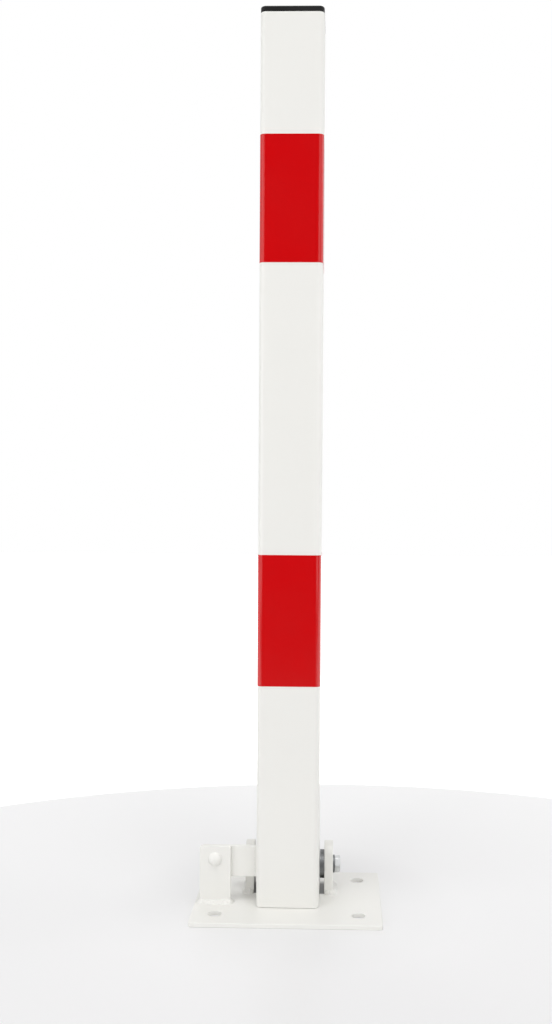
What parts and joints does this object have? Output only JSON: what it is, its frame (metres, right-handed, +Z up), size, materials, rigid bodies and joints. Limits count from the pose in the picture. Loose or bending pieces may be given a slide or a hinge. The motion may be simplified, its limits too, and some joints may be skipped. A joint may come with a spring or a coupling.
{
  "type": "fold-down bollard",
  "caption": "Square steel bollard post on a hinged base plate, which folds down flat when its padlock is taken off.",
  "frame": {"origin": "centre of the base plate's underside, on the ground", "axes": "+Z up along the post, +X along the hinge pin towards the bolt's head, +Y the way the post folds down; the lock upright stands on the -X side"},
  "size_m": [0.21, 0.158, 1],
  "materials": {
    "powder_coat": "gloss white powder coat",
    "zinc_steel": "bright zinc plate",
    "lock_ring": "natural nylon",
    "cap_plastic": "black moulded plastic",
    "red_film": "glossy red film"
  },
  "bodies": {
    "base": {"base_plate": "powder_coat", "hinge_ear_left": "powder_coat", "hinge_ear_right": "powder_coat", "lock_upright": "powder_coat", "lock_stud": "powder_coat", "pivot_bolt": "zinc_steel", "pivot_nut": "zinc_steel", "nut_ring": "lock_ring", "head_washer": "zinc_steel", "nut_washer": "zinc_steel", "left_outer_spacer": "zinc_steel", "left_inner_spacer": "zinc_steel", "right_inner_spacer": "zinc_steel", "right_outer_spacer": "zinc_steel"},
    "post": {"pivot_sleeve": "powder_coat", "post_tube": "powder_coat", "end_cap": "cap_plastic", "lock_arm": "powder_coat", "red_band_lower": "red_film", "red_band_upper": "red_film"}
  },
  "joints": [
    {"name": "post_fold", "type": "hinge", "parent": "base", "child": "post", "pos_m": [0, 0.024, 0.035], "axis": [-1, 0, 0], "range_deg": [0, 90]}
  ]
}
